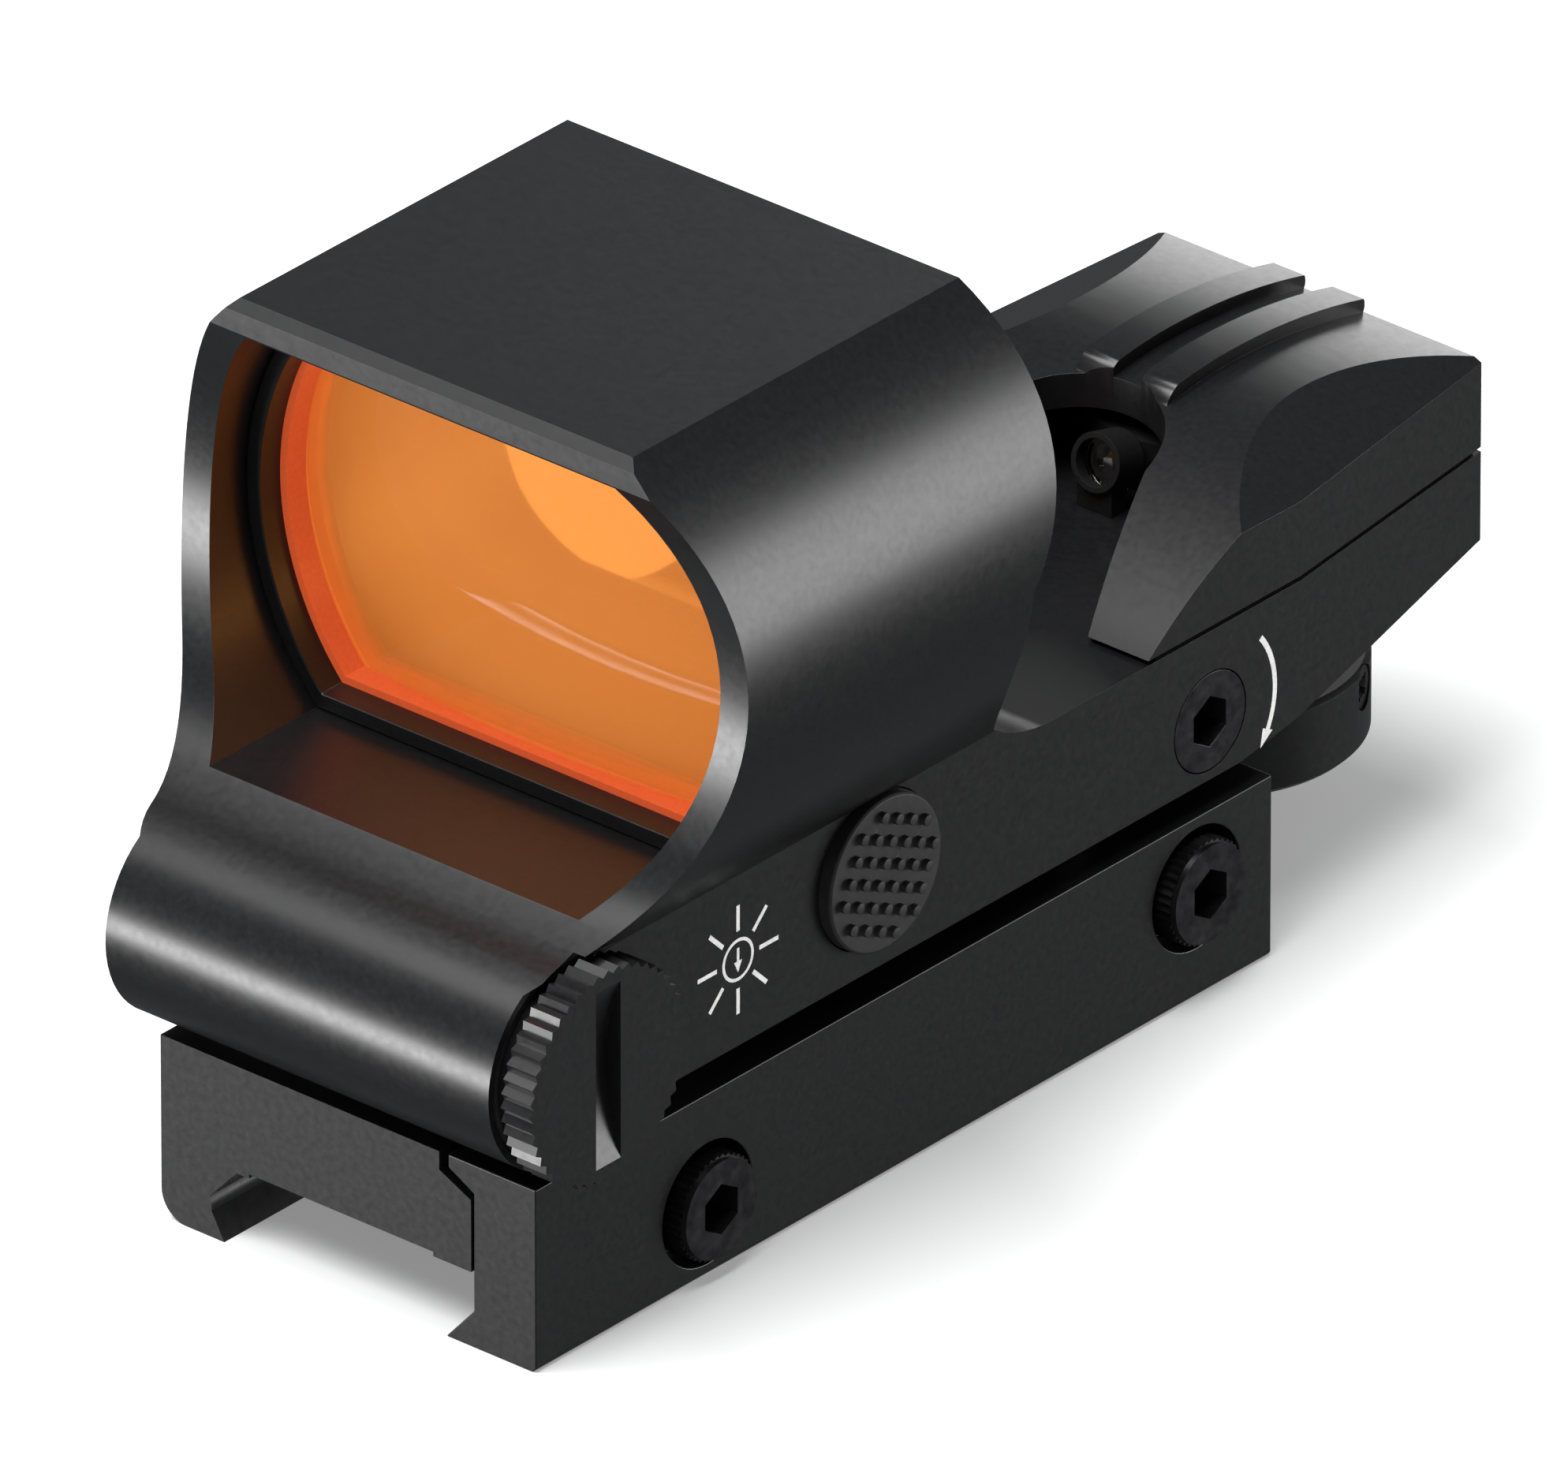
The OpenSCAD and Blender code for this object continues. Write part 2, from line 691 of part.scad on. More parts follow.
// Side profile under the crown, drawn in by inset
module crown_side(inset = 0) {
    intersection() {
        translate([crown_y - 40, cover_z]) square([80, 20]);
        union() {
            intersection() {
                translate([crown_y, crown_z - ramp_r]) circle(r = ramp_r - inset);
                translate([crown_y - 40, 0]) square([40 + eps, 60]);
            }
            intersection() {
                translate([crown_y, crown_z - roof_r]) circle(r = roof_r - inset);
                translate([crown_y, 0]) square([rear_y - inset - crown_y, 60]);
            }
        }
    }
}

// Half-space above the plane that bevels one long edge of the cover
module edge_bevel(inset = 0) {
    run = rear_y - chamfer_front_y;
    yaw = atan((half_w - half_rear_w) / run);
    pitch = atan((chamfer_rear_z - chamfer_front_z) / run);
    translate([half_w, chamfer_front_y, chamfer_front_z - inset])
        rotate([pitch, 0, yaw]) rotate([0, chamfer_angle, 0])
        translate([-20, -20, 0]) cube([40, 60, 20]);
}

module pocket_plan() {
    front = cover_front_y - 1;
    back_half = pocket_r - 0.8;
    translate([0, pocket_y]) circle(r = pocket_r);
    polygon([[-pocket_front_half, front], [pocket_front_half, front],
             [back_half, pocket_y + 2.4], [-back_half, pocket_y + 2.4]]);
}

// Raised sighting rib along the crown, with rounded ends
module rib(x0) {
    front = pocket_y + 5.4;
    front_r = 2.2;
    rear_r = 0.9;
    low = crown_z - 2.6;
    along_x(x0, x0 + rib_w) intersection() {
        union() {
            intersection() {
                translate([crown_y, crown_z - ramp_r]) circle(r = ramp_r + rib_h);
                translate([0, 0]) square([crown_y + eps, 60]);
            }
            intersection() {
                translate([crown_y, crown_z - roof_r]) circle(r = roof_r + rib_h);
                translate([crown_y, 0]) square([30, 60]);
            }
        }
        union() {
            translate([front + front_r, low]) square([rear_y - rear_r - front - front_r, 5]);
            translate([front + front_r, crown_z + 0.72 - front_r]) circle(r = front_r);
            translate([rear_y - rear_r, crown_z - 0.2 - rear_r]) circle(r = rear_r);
        }
    }
}

module emitter_cover() {
    color(black) difference() {
        union() {
            intersection() {
                along_x(-half_w, half_w) crown_side();
                translate([0, 0, cover_z]) linear_extrude(30) body_plan();
                box(-half_w, half_w, cover_front_y - 1, rear_y, 0, 60);
            }
            rib(rib_gap);
            rib(-rib_gap - rib_w);
        }
        for (s = [-1, 1]) on_side(s) edge_bevel();
        // Hollow over the selector and the projector
        intersection() {
            along_x(-11.2, 11.2) translate([0, -1]) crown_side(cover_wall - 1);
            translate([0, 0, cover_z - 1]) linear_extrude(30) body_plan(2.2);
            box(-20, 20, pocket_y - 2, rear_y, 0, 60);
            box(-hollow_half, hollow_half, 0, 90, 0, 24.9);
        }
        translate([0, 0, cover_z - 1]) linear_extrude(30) pocket_plan();
        for (p = cover_screw_spots) cyl_z(1.1, cover_z - 1, cover_z + 2.6, p[0], p[1]);
    }
}

module cover_gasket() {
    color(rubber) translate([0, 0, deck_z]) linear_extrude(gasket_t) difference() {
        intersection() {
            body_plan(0.35);
            translate([-20, cover_front_y + 1.2]) square([40, 60]);
        }
        intersection() {
            body_plan(2.2);
            translate([-hollow_half, pocket_y - 2]) square([2 * hollow_half, 60]);
        }
        pocket_plan();
        for (p = cover_screw_spots) translate(p) circle(r = 1.1);
    }
}

// ---- Zeroing screws ------------------------------------------------------

// Flush adjuster along Z, with its face at z = 0
module adjuster(length, socket) {
    difference() {
        union() {
            translate([0, 0, -2.9]) cylinder(r = adjuster_r, h = 2.9);
            translate([0, 0, -length + thread_r]) cylinder(r = thread_r, h = length - thread_r - 1);
            intersection() {
                translate([0, 0, -length + 6]) sphere(r = 6);
                translate([0, 0, -length]) cylinder(r = thread_r, h = 5);
            }
        }
        translate([0, 0, -socket]) hex_prism(hex_af, 5);
        translate([0, 0, -1.5]) ring_groove(adjuster_r - 2 * ring_r, 2 * ring_r + 0.1);
        thread_grooves(thread_r, -length + 3, -4, 0.5);
    }
}

module windage_screw() {
    color(dark) place_x(half_w, windage_y, windage_z) adjuster(half_w - post_half - tip_gap, 2.2);
}

module windage_oring() {
    color(rubber) place_x(half_w - 1.5, windage_y, windage_z) o_ring(adjuster_r - ring_r + 0.05, ring_r);
}

module elevation_screw() {
    color(dark) translate([0, elevation_y, deck_z]) adjuster(deck_z - base_top - tip_gap, 2.2);
}

module elevation_oring() {
    color(rubber) translate([0, elevation_y, deck_z - 1.5]) o_ring(adjuster_r - ring_r + 0.05, ring_r);
}

// Sprung plunger that keeps the post against the windage screw
module windage_plunger() {
    nose = 1.2;
    color(brass) union() {
        cyl_x(2, -8.2, -post_half - tip_gap - nose, windage_y, windage_z);
        place_x(-post_half - tip_gap - nose, windage_y, windage_z)
            cylinder(r1 = 2, r2 = 0.9, h = nose);
    }
}

module windage_spring() {
    color(steel) place_x(-11.8, windage_y, windage_z)
        spring(r = 1.55, wire = 0.25, height = 3.6, turns = 3);
}

module windage_plug() {
    color(dark) difference() {
        cyl_x(plug_r, -half_w + 0.2, -11.8, windage_y, windage_z);
        box(-half_w - 1, -half_w + 1.1, windage_y - 2, windage_y + 2, windage_z - 0.35, windage_z + 0.35);
    }
}

// ---- Battery compartment -------------------------------------------------

module battery_cap() {
    slot_depth = 1.2;
    slot_half = 6;
    slot_w = 2.25;
    tooth_depth = 0.35;
    cutter_r = (slot_half ^ 2 + slot_depth ^ 2) / (2 * slot_depth);
    tooth = 360 / cap_teeth;
    cap_r = cap_d / 2;
    place_x(0, nose_y, nose_z) color(dark) difference() {
        union() {
            translate([0, 0, cap_x]) linear_extrude(cap_face - cap_x) polygon([
                for (i = [0 : cap_teeth - 1]) for (k = [0, 1])
                    let (a = tooth * (i + k / 2), r = cap_r - k * tooth_depth)
                    [r * cos(a), r * sin(a)]]);
            translate([0, 0, cap_plug_x]) cylinder(r = bore_r - 0.06, h = cap_x - cap_plug_x + eps);
        }
        translate([0, slot_w / 2, cap_face + cutter_r - slot_depth]) rotate([90, 0, 0])
            cylinder(r = cutter_r, h = slot_w);
        translate([0, 0, cap_plug_x - 1]) cylinder(r = 4.4, h = 3.4);
        translate([0, 0, half_w - 0.55]) ring_groove(bore_r - 0.55, 1);
        thread_grooves(bore_r, cap_plug_x + 1, half_w - 2, 1);
    }
}

module battery_cap_oring() {
    color(rubber) place_x(half_w - 0.55, nose_y, nose_z) o_ring(bore_r - 0.05, 0.45);
}

module battery_cells() {
    color(steel) for (i = [0 : 2])
        place_x(cell_x + i * cell_h, nose_y, nose_z) union() {
            cylinder(r = cell_r, h = cell_h - 0.35);
            cylinder(r = cell_r - 1.1, h = cell_h - 0.05);
        }
}

module battery_sleeve() {
    color("ivory") difference() {
        cyl_x(bore_r, bore_end + 0.1, cap_plug_x - 0.3, nose_y, nose_z);
        cyl_x(cell_r + 0.05, bore_end, cap_plug_x, nose_y, nose_z);
    }
}

module battery_spring() {
    color(brass) place_x(bore_end, nose_y, nose_z)
        spring(r = 4, wire = 0.35, height = cell_x - bore_end, turns = 4);
}

// ---- Buttons and electronics ---------------------------------------------

// Dimpled rubber button along +X; its flange sits behind the wall
module button() {
    pitch = 1.42;
    rows = [4, 6, 6, 6, 6, 4];
    turn = 24;
    flange_x = half_w - wall - 0.1;
    color(rubber) union() {
        cyl_x(button_r, flange_x - 0.5, button_face - 0.15, button_y, button_z);
        place_x(button_face - 0.15, button_y, button_z)
            cylinder(r1 = button_r, r2 = button_r - 0.15, h = 0.15);
        cyl_x(button_r + 0.8, flange_x - 1.05, flange_x, button_y, button_z);
        translate([0, button_y, button_z]) rotate([-turn, 0, 0])
            for (i = [0 : 5]) for (j = [0 : rows[i] - 1])
                cyl_x(0.37, button_face - 0.2, button_face + 0.42,
                      (j - (rows[i] - 1) / 2) * pitch, (i - 2.5) * pitch);
    }
}

module button_down() { button(); }
module button_up() { mirror([1, 0, 0]) button(); }

module control_board() {
    color(green) difference() {
        box(-10.2, 10.2, -6.4, 7.6, board_z, board_z + board_t);
        for (x = [-9, 9]) cyl_z(0.8, 0, 20, x, 6.4);
    }
}

module control_chips() {
    color(black) {
        box(-2.5, 2.5, 1.5, 6.5, board_z + board_t, board_z + board_t + 1);
        for (x = [-5.6, 4.4]) box(x, x + 1.2, 3, 5, board_z + board_t, board_z + board_t + 0.6);
    }
}

module side_switches() {
    color(steel) for (s = [-1, 1]) on_side(s) {
        box(6, 10, button_y - 3, button_y + 3, board_z + board_t, 18.6);
        cyl_x(1.6, 10, 11.1, button_y, button_z);
    }
}

// Flat cable from the board, along the hollow and up through the deck
module flex_cable() {
    w = 1.6;
    t = 0.25;
    low = board_z + 0.4;
    high = cavity_top - 0.3;
    left = -8.4;
    mid = -4.6;
    riser_y = 23.9;
    slot_y = 37.9;
    color("darkorange") union() {
        box(left, left + w, 7.6, riser_y, low, low + t);
        box(left, left + w, riser_y - t, riser_y, low, high);
        box(left, mid + w, riser_y - w, riser_y, high - t, high);
        box(mid, mid + w, riser_y - w, slot_y, high - t, high);
        box(mid, 1, slot_y - w, slot_y, high - t, high);
        box(-1, 1, slot_y - t, slot_y, high - t, deck_z + 0.05 + t);
        box(-1, 1, slot_y - t, 40.6, deck_z + 0.05, deck_z + 0.05 + t);
    }
}

module led_board() {
    color(green) box(-3, 3, 40.6, 43.3, deck_z, deck_z + 0.7);
}

module led_emitter() {
    color("white") union() {
        box(-1.2, 1.2, 41.3, 42.9, deck_z + 0.7, deck_z + 3.1);
        intersection() {
            translate([0, 41.5, reticle_z - 0.5]) sphere(r = 0.8);
            box(-1, 1, 40, 41.4, 18, 24);
        }
    }
}

module beam(y) {
    translate([0, y, reticle_z + (knob_y - drum_r - y) * tan(beam_tilt)])
        rotate([90 - beam_tilt, 0, 0]) children();
}

module projector_tube() {
    color(dark) difference() {
        union() {
            beam(tube_y) cylinder(r = projector_r + 0.4, h = 2.4);
            box(-1.4, 1.4, tube_y - 2.4, tube_y - 0.9, deck_z, reticle_z + 0.3);
        }
        beam(tube_y) translate([0, 0, -1]) cylinder(r = projector_r, h = 5);
    }
}

module projector_lens() {
    color("lightblue") beam(tube_y) translate([0, 0, 0.7]) intersection() {
        cylinder(r = projector_r, h = 1.4);
        translate([0, 0, -2.4]) sphere(r = 3.6);
    }
}

// ---- Reticle selector ----------------------------------------------------

// Apertures of one reticle, cut along -Y through the drum wall
module reticle(kind) {
    rotate([90, 0, 0]) {
        if (kind == 0) cylinder(r = 0.3, h = 10);
        if (kind == 1) for (a = [0, 90]) rotate([0, 0, a]) translate([-0.9, -0.12, 0]) cube([1.8, 0.24, 10]);
        if (kind == 2) {
            cylinder(r = 0.2, h = 10);
            for (a = [0 : 45 : 315]) rotate([0, 0, a]) translate([0.85, 0, 0]) cylinder(r = 0.14, h = 10);
        }
        if (kind == 3) for (a = [90, 210, 330]) rotate([0, 0, a])
            translate([0.35, -0.1, 0]) cube([0.7, 0.2, 10]);
    }
}

module reticle_drum() {
    color(dark) translate([0, knob_y, 0]) difference() {
        translate([0, 0, drum_z]) cylinder(r = drum_r, h = drum_top - drum_z);
        translate([0, 0, drum_z - 1]) cylinder(r = drum_r - drum_wall, h = drum_top - drum_z - 0.7 + 1);
        translate([0, 0, drum_z - 1]) cylinder(r = shaft_r, h = 10);
        for (k = [0 : 3]) rotate([0, 0, 90 * k]) translate([0, -3, reticle_z]) reticle(k);
    }
}

module selector_shaft() {
    color(steel) difference() {
        cyl_z(shaft_r, knob_z + 1.2, drum_top, 0, knob_y);
        translate([0, knob_y, bush_top + 0.1]) difference() {
            cylinder(r = shaft_r + 1, h = 0.7);
            translate([0, 0, -1]) cylinder(r = shaft_r - 0.5, h = 3);
        }
    }
}

module selector_bush() {
    color(brass) difference() {
        cyl_z(bush_r, boss_z, bush_top, 0, knob_y);
        cyl_z(shaft_r + slip, 0, 30, 0, knob_y);
    }
}

// Retaining clip in the shaft's groove
module selector_clip() {
    color(steel) translate([0, knob_y, bush_top + 0.15]) difference() {
        cylinder(r = bush_r + 0.5, h = 0.6);
        translate([0, 0, -1]) cylinder(r = shaft_r - 0.45, h = 3);
        translate([-1.3, 0, -1]) cube([2.6, 10, 3]);
    }
}

module set_screw_axis() {
    translate([0, knob_y, set_screw_z]) rotate([0, 0, set_screw_angle]) rotate([0, 90, 0]) children();
}

module selector_knob() {
    color(black) difference() {
        union() {
            cyl_z(knob_r, knob_z + 0.4, knob_top - 0.3, 0, knob_y);
            translate([0, knob_y, knob_z]) cylinder(r1 = knob_r - 0.4, r2 = knob_r, h = 0.4);
            translate([0, knob_y, knob_top - 0.3]) cylinder(r1 = knob_r, r2 = knob_r - 0.3, h = 0.3);
        }
        cyl_z(shaft_r, knob_z + 1.2, 20, 0, knob_y);
        set_screw_axis() cylinder(r = set_screw_r + 0.05, h = 20);
        // Finger recess in the lower face and the detent's four dimples in the upper one
        cyl_z(knob_r - 1.8, 0, knob_z + 0.5, 0, knob_y);
        for (a = [0 : 90 : 270]) translate([0, knob_y, 0]) rotate([0, 0, a])
            translate([detent_orbit, 0, knob_top + 0.55]) sphere(r = 0.8);
    }
}

module knob_set_screw() {
    color(steel) set_screw_axis() difference() {
        translate([0, 0, shaft_r + 0.02]) cylinder(r = set_screw_r, h = knob_r - shaft_r - 0.2);
        for (a = [0, 90]) rotate([0, 0, a + 45])
            translate([-0.95, -0.19, knob_r - 1.1]) cube([1.9, 0.38, 2]);
        translate([0, 0, knob_r - 1]) cylinder(r1 = 0.3, r2 = 0.75, h = 0.9);
    }
}

module detent_ball() {
    color(steel) translate([detent_orbit, knob_y, knob_top + ball_r + 0.02]) sphere(r = ball_r);
}

module detent_spring() {
    low = knob_top + 2 * ball_r + 0.06;
    color(steel) translate([detent_orbit, knob_y, low])
        spring(r = 0.5, wire = 0.14, height = 10.4 - low, turns = 5, per_turn = 10);
}

mount_base();
clamp_plate();
clamp_screw_front();
clamp_screw_rear();
pivot_block();
pivot_screw();
pivot_pin();
tie_down_screw();
tie_down_spring();
main_housing();
bottom_plate();
bottom_plate_screws();
lens_retainer();
objective_lens();
lens_seal();
emitter_cover();
cover_gasket();
cover_screws();
windage_screw();
windage_oring();
windage_plunger();
windage_spring();
windage_plug();
elevation_screw();
elevation_oring();
battery_cap();
battery_cap_oring();
battery_cells();
battery_sleeve();
battery_spring();
control_board();
control_chips();
side_switches();
button_down();
button_up();
flex_cable();
led_board();
led_emitter();
projector_tube();
projector_lens();
reticle_drum();
selector_shaft();
selector_bush();
selector_clip();
selector_knob();
knob_set_screw();
detent_ball();
detent_spring();
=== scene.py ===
"""Looks for an open reflex red dot sight: materials, printed marks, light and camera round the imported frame."""

import json
import math

import bmesh
import bpy
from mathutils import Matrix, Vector


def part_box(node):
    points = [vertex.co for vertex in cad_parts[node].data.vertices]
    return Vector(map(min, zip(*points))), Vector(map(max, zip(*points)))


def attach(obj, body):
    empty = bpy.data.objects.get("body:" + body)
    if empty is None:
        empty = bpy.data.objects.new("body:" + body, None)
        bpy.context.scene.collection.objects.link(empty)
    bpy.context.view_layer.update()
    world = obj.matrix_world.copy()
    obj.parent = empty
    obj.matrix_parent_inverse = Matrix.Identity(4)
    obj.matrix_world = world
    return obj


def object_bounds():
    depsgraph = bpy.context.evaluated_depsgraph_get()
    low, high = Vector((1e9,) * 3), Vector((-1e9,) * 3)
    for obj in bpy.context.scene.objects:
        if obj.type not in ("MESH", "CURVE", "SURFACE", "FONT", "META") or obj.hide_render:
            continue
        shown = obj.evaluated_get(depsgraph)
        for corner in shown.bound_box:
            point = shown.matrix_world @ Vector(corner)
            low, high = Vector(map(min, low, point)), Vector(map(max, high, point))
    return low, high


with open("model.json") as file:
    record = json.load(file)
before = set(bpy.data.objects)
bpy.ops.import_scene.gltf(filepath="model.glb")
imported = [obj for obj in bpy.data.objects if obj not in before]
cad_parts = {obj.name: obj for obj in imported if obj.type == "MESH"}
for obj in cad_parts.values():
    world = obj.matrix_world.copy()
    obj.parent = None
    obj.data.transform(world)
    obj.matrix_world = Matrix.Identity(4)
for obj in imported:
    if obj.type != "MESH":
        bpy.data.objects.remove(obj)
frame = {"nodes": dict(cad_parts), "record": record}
cad_box = [list(map(float, corner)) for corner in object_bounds()]

MM = 0.001


# ---- Camera --------------------------------------------------------------

def make_camera():
    """A long lens from ahead, right of and above the sight, so that parallel edges stay parallel."""
    target = Vector((0.0, 6.79, 15.92)) * MM
    towards = Vector((0.5715, -0.6662, 0.4792)).normalized()
    distance = 3.0
    frame_width = 94.35 * MM
    data = bpy.data.cameras.new("camera")
    data.sensor_width = 36.0
    data.lens = data.sensor_width * distance / frame_width
    data.clip_end = 20.0
    camera = bpy.data.objects.new("camera", data)
    camera.location = target + towards * distance
    camera.rotation_euler = towards.to_track_quat("Z", "Y").to_euler()
    bpy.context.scene.collection.objects.link(camera)
    bpy.context.scene.camera = camera


# ---- Materials -----------------------------------------------------------

class Surface:
    """A Principled material, with short calls for the noise that varies it."""

    def __init__(self, name, color, roughness, **sockets):
        self.material = bpy.data.materials.new(name)
        self.material.use_nodes = True
        self.nodes = self.material.node_tree.nodes
        self.links = self.material.node_tree.links
        self.shader = self.nodes["Principled BSDF"]
        self.shader.inputs["Base Color"].default_value = (*color, 1.0)
        self.shader.inputs["Roughness"].default_value = roughness
        for socket, value in sockets.items():
            self.shader.inputs[socket.replace("_", " ")].default_value = value
        self.place = self.nodes.new("ShaderNodeTexCoord").outputs["Object"]

    def noise(self, size, detail=3.0, stretch=(1, 1, 1)):
        """Noise whose grains are about size metres across."""
        mapping = self.nodes.new("ShaderNodeMapping")
        mapping.inputs["Scale"].default_value = stretch
        texture = self.nodes.new("ShaderNodeTexNoise")
        texture.inputs["Scale"].default_value = 1.0 / size
        texture.inputs["Detail"].default_value = detail
        self.links.new(self.place, mapping.inputs["Vector"])
        self.links.new(mapping.outputs["Vector"], texture.inputs["Vector"])
        return texture.outputs["Fac"]

    def spread(self, fac, low, high):
        """fac, which is mostly from 0.3 to 0.7, stretched to run from low to high."""
        node = self.nodes.new("ShaderNodeMapRange")
        node.inputs["From Min"].default_value = 0.3
        node.inputs["From Max"].default_value = 0.7
        node.inputs["To Min"].default_value = low
        node.inputs["To Max"].default_value = high
        self.links.new(fac, node.inputs["Value"])
        return node.outputs["Result"]

    def vary_roughness(self, size, low, high, stretch=(1, 1, 1)):
        self.links.new(self.spread(self.noise(size, stretch=stretch), low, high),
                       self.shader.inputs["Roughness"])
        return self

    def vary_color(self, size, dark, light):
        mix = self.nodes.new("ShaderNodeMix")
        mix.data_type = "RGBA"
        mix.inputs["A"].default_value = (*dark, 1.0)
        mix.inputs["B"].default_value = (*light, 1.0)
        self.links.new(self.spread(self.noise(size), 0.0, 1.0), mix.inputs["Factor"])
        self.links.new(mix.outputs["Result"], self.shader.inputs["Base Color"])
        return self

    def grain(self, size, height, detail=2.0, stretch=(1, 1, 1)):
        """A bump of that height in metres, on top of any earlier one."""
        bump = self.nodes.new("ShaderNodeBump")
        bump.inputs["Strength"].default_value = 1.0
        bump.inputs["Distance"].default_value = height
        self.links.new(self.noise(size, detail, stretch), bump.inputs["Height"])
        earlier = self.shader.inputs["Normal"].links
        if earlier:
            self.links.new(earlier[0].from_socket, bump.inputs["Normal"])
        self.links.new(bump.outputs["Normal"], self.shader.inputs["Normal"])
        return self


def anodised():
    """Satin black anodising over a fine bead-blasted grain."""
    return (Surface("black_anodised", (0.007, 0.0072, 0.008), 0.3, Specular_IOR_Level=0.55)
            .vary_roughness(0.5 * MM, 0.28, 0.33)
            .vary_color(0.4 * MM, (0.005, 0.0052, 0.006), (0.008, 0.0082, 0.009))
            .grain(0.12 * MM, 0.0008 * MM)).material


def matt_black():
    """Flat black paint that kills reflections inside the optics."""
    return (Surface("matt_black", (0.004, 0.004, 0.004), 0.75, Specular_IOR_Level=0.2)
            .vary_color(0.3 * MM, (0.003, 0.003, 0.003), (0.005, 0.005, 0.005))
            .grain(0.1 * MM, 0.003 * MM)).material


def black_oxide():
    return (Surface("black_oxide_steel", (0.035, 0.035, 0.038), 0.32, Metallic=0.85)
            .vary_roughness(0.8 * MM, 0.26, 0.42)
            .vary_color(1.5 * MM, (0.025, 0.025, 0.028), (0.05, 0.05, 0.052))
            .grain(0.12 * MM, 0.001 * MM)).material


def bright_steel(name="steel", color=(0.5, 0.5, 0.52), roughness=0.25):
    return (Surface(name, color, roughness, Metallic=1.0)
            .vary_roughness(0.9 * MM, roughness - 0.06, roughness + 0.08)
            .grain(0.15 * MM, 0.0008 * MM, stretch=(1, 1, 6))).material


def brass():
    return (Surface("brass", (0.62, 0.42, 0.16), 0.28, Metallic=1.0)
            .vary_color(1.5 * MM, (0.55, 0.36, 0.13), (0.68, 0.47, 0.19))
            .vary_roughness(0.9 * MM, 0.22, 0.36)).material


def rubber(name="black_rubber", color=(0.012, 0.012, 0.013), roughness=0.62):
    pale = tuple(1.5 * c for c in color)
    return (Surface(name, color, roughness, Specular_IOR_Level=0.4)
            .vary_color(1.0 * MM, color, pale)
            .vary_roughness(0.7 * MM, roughness - 0.07, roughness + 0.08)
            .grain(0.09 * MM, 0.003 * MM)).material


def sealant():
    """Glossy orange-red bead with a painted glow: its emission stands in for the light in the glass shining
    through.
    """
    # The orange-red base is the bead's own colour; the emission on top is a painted glow, as if the bead were lit
    # from inside the glass.
    return (Surface("sealant", (0.5, 0.08, 0.025), 0.3, Emission_Color=(1.0, 0.13, 0.03, 1.0),
                    Emission_Strength=0.3)
            .vary_color(0.3 * MM, (0.46, 0.07, 0.02), (0.52, 0.09, 0.03))
            .grain(0.3 * MM, 0.002 * MM)).material


def plastic(name, color, roughness=0.45):
    dark = tuple(0.85 * c for c in color)
    return (Surface(name, color, roughness)
            .vary_color(1.5 * MM, dark, color)
            .grain(0.15 * MM, 0.0015 * MM)).material


def glass(name, color, roughness=0.0, **sockets):
    surface = Surface(name, color, roughness, IOR=1.5, **{"Transmission_Weight": 1.0, **sockets})
    return surface.grain(9 * MM, 0.0004 * MM).material


def amber_glass():
    """Window glass that lets part of the light through, with a painted orange glow standing in for the light the
    coating throws back and the light coming through from behind.
    """
    # Emission_Color and Emission_Strength paint an orange glow onto the glass, which is no lamp.
    return glass("amber_glass", (0.66, 0.27, 0.06), 0.04, Transmission_Weight=0.65,
                 Specular_IOR_Level=0.2, Emission_Color=(1.0, 0.3, 0.05, 1.0), Emission_Strength=0.19)


def printed_ink():
    return (Surface("white_ink", (0.72, 0.72, 0.7), 0.5)
            .vary_color(0.5 * MM, (0.62, 0.62, 0.6), (0.76, 0.76, 0.74))
            .grain(0.1 * MM, 0.0015 * MM)).material


def make_materials():
    """A finish for each of the record's slots, the flat black of MATT nodes and the bead's sealant."""
    return {
        "black_anodised": anodised(),
        "matt_black": matt_black(),
        "sealant": sealant(),
        "black_oxide_steel": black_oxide(),
        "steel": bright_steel(),
        "spring_steel": bright_steel("spring_steel", (0.42, 0.42, 0.44), 0.22),
        "amber_glass": amber_glass(),
        "orange_seal": rubber("orange_seal", (0.8, 0.15, 0.05), 0.3),
        "black_rubber": rubber(),
        "button_rubber": rubber("button_rubber", (0.014, 0.014, 0.015), 0.55),
        "brass": brass(),
        "nickel": bright_steel("nickel", (0.6, 0.59, 0.56), 0.2),
        "insulating_plastic": plastic("insulating_plastic", (0.7, 0.68, 0.6)),
        "circuit_board": plastic("circuit_board", (0.02, 0.16, 0.07), 0.35),
        "chip_plastic": plastic("chip_plastic", (0.02, 0.02, 0.02)),
        "flex_film": plastic("flex_film", (0.02, 0.014, 0.01), 0.3),
        "led_plastic": plastic("led_plastic", (0.75, 0.75, 0.7), 0.3),
        "clear_glass": glass("clear_glass", (0.92, 0.95, 0.96)),
    }


# ---- Frame ---------------------------------------------------------------

MATT = {"projector_tube", "reticle_drum"}
# Springs, and pieces too small or finely pierced to bevel
UNBROKEN = {"tie_down_spring", "windage_spring", "battery_spring", "detent_spring", "detent_ball",
            "reticle_drum"}
EDGE = 0.13 * MM            # how wide most edges are broken
FINE_EDGE = 0.05 * MM       # the same on the FINE pieces: knurls, screws and small things
EDGE_ANGLE = math.radians(18)
FLAT_ANGLE = math.radians(0.5)
WELD_GAP = 0.001 * MM
FINE = {"battery_cap", "clamp_screw_front", "clamp_screw_rear", "button_down", "button_up",
        "windage_screw", "elevation_screw", "knob_set_screw", "bottom_plate_screws", "cover_screws",
        "windage_plug", "selector_clip", "control_chips", "led_emitter", "led_board",
        "flex_cable", "cover_gasket", "lens_seal", "projector_tube", "battery_cells"}


